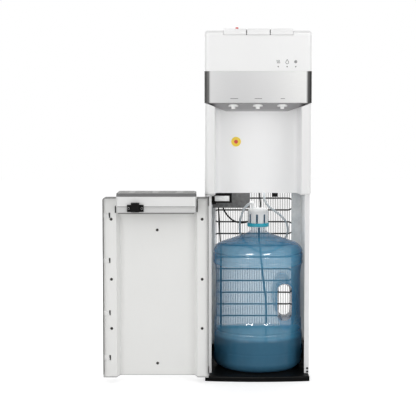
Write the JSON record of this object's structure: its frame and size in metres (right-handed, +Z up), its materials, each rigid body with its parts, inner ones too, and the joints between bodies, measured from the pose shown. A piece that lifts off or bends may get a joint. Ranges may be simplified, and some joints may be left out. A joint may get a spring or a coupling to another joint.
{
  "type": "bottom load water cooler",
  "caption": "Upright bottom load water cooler with its door open and a handled bottle in the bay, a glass recess with taps, rocking keys on top and a drip tray on the door.",
  "frame": {"origin": "on the floor, under the middle of the cabinet, on the plane the base stands on", "axes": "+X to the right seen from the front, +Y to the back, +Z up"},
  "size_m": [0.608, 0.423, 1.0376],
  "materials": {
    "base": "satin",
    "white_plastic": "satin",
    "door_plastic": "satin",
    "side_steel": "satin paint",
    "zinc_steel": "galvanised",
    "hood_grey": "satin",
    "tap_white": "gloss",
    "band_steel": "brushed",
    "lamp": "gloss",
    "board_green": "matte",
    "rod_steel": "bright",
    "red_plastic": "gloss",
    "rubber_black": "matte",
    "black_paint": "satin paint",
    "stainless": "satin",
    "foam_white": "matte",
    "silicone": "translucent",
    "copper": "bright",
    "black_plastic": "matte",
    "grey_plastic": "satin",
    "plate_white": "gloss",
    "bottle_blue": "clear tinted",
    "cyan_plastic": "gloss"
  },
  "bodies": {
    "cabinet": {"base_tray": "base", "left_side_panel": "side_steel", "right_side_panel": "side_steel", "machine_shelf": "zinc_steel", "tank_shelf": "zinc_steel", "rear_cover": "zinc_steel", "alcove_panel": "white_plastic", "tap_hood": "hood_grey", "tap_hot": "tap_white", "tap_ambient": "tap_white", "tap_cold": "tap_white", "control_panel": "white_plastic", "steel_band": "band_steel", "indicator_lamps": "lamp", "control_board": "board_green", "top_cover": "white_plastic", "key_pivot_rod": "rod_steel", "compressor_mounts": "rubber_black", "compressor": "black_paint", "cold_tank": "stainless", "hot_tank": "stainless", "cold_tank_foam": "foam_white", "hot_tank_jacket": "foam_white", "drain_plug": "rubber_black", "tap_tubes": "silicone", "copper_lines": "copper", "condenser_tube": "black_paint", "return_line": "black_paint", "condenser_wires": "black_paint", "condenser_brackets": "zinc_steel", "switch_frames": "black_plastic", "power_inlet": "black_plastic", "pump_bracket": "zinc_steel", "water_pump": "black_plastic", "control_box": "black_plastic", "box_plate": "plate_white", "shelf_fittings": "black_plastic", "drain_hose": "rubber_black", "suction_hose": "silicone", "top_hinge_bracket": "zinc_steel", "latch_keeper": "black_plastic"},
    "door": {"door_skin": "door_plastic", "door_liner": "door_plastic", "door_screws": "rod_steel", "door_pins": "rod_steel", "tray_holder": "white_plastic", "latch_body": "black_plastic"},
    "bottle": {"bottle": "bottle_blue", "probe_cap": "white_plastic", "probe_tube": "silicone"},
    "latch_tongue": {"latch_plunger": "black_plastic"},
    "tray": {"drip_tray": "grey_plastic"},
    "grille": {"drip_grille": "grey_plastic"},
    "collar": {"probe_collar": "cyan_plastic"},
    "key_hot": {"hot_key": "white_plastic"},
    "key_ambient": {"ambient_key": "white_plastic"},
    "key_cold": {"cold_key": "white_plastic"},
    "lock": {"child_lock": "red_plastic"},
    "rocker_hot": {"hot_switch": "black_plastic"},
    "rocker_cold": {"cold_switch": "black_plastic"}
  },
  "joints": [
    {"name": "door_swing", "type": "hinge", "parent": "cabinet", "child": "door", "pos_m": [-0.149, -0.163, 0.28], "axis": [0, 0, -1], "range_deg": [-180, 0]},
    {"name": "bottle_slide", "type": "slide", "parent": "cabinet", "child": "bottle", "axis": [-0.0599, -0.9982, 0], "range_m": [0, 0.3], "deforming": ["suction_hose"]},
    {"name": "collar_lift", "type": "slide", "parent": "bottle", "child": "collar", "axis": [0, 0, 1], "range_m": [0, 0.015]},
    {"name": "hot_key_press", "type": "hinge", "parent": "cabinet", "child": "key_hot", "pos_m": [0, -0.176, 1.019], "axis": [1, 0, 0], "range_deg": [-4, 0], "stiffness_Nm_per_rad": 0.5, "springref_deg": 5.73},
    {"name": "ambient_key_press", "type": "hinge", "parent": "cabinet", "child": "key_ambient", "pos_m": [0, -0.176, 1.019], "axis": [1, 0, 0], "range_deg": [-4, 0], "stiffness_Nm_per_rad": 0.5, "springref_deg": 5.73},
    {"name": "cold_key_press", "type": "hinge", "parent": "cabinet", "child": "key_cold", "pos_m": [0, -0.176, 1.019], "axis": [1, 0, 0], "range_deg": [-4, 0], "stiffness_Nm_per_rad": 0.5, "springref_deg": 5.73},
    {"name": "child_lock_slide", "type": "slide", "parent": "key_hot", "child": "lock", "axis": [0, 1, 0], "range_m": [0, 0.004], "stiffness_N_per_m": 50, "springref_m": -0.01},
    {"name": "tray_lift", "type": "slide", "parent": "door", "child": "tray", "axis": [0, 0, 1], "range_m": [0, 0.06]},
    {"name": "grille_lift", "type": "slide", "parent": "tray", "child": "grille", "axis": [0, 0, 1], "range_m": [0, 0.04]},
    {"name": "latch_rise", "type": "slide", "parent": "door", "child": "latch_tongue", "axis": [0, 0, 1], "range_m": [0, 0.01]},
    {"name": "hot_switch_rock", "type": "hinge", "parent": "cabinet", "child": "rocker_hot", "pos_m": [-0.062, 0.156, 0.8945], "axis": [1, 0, 0], "range_deg": [-16, 0]},
    {"name": "cold_switch_rock", "type": "hinge", "parent": "cabinet", "child": "rocker_cold", "pos_m": [0.062, 0.156, 0.8945], "axis": [1, 0, 0], "range_deg": [-16, 0]}
  ]
}
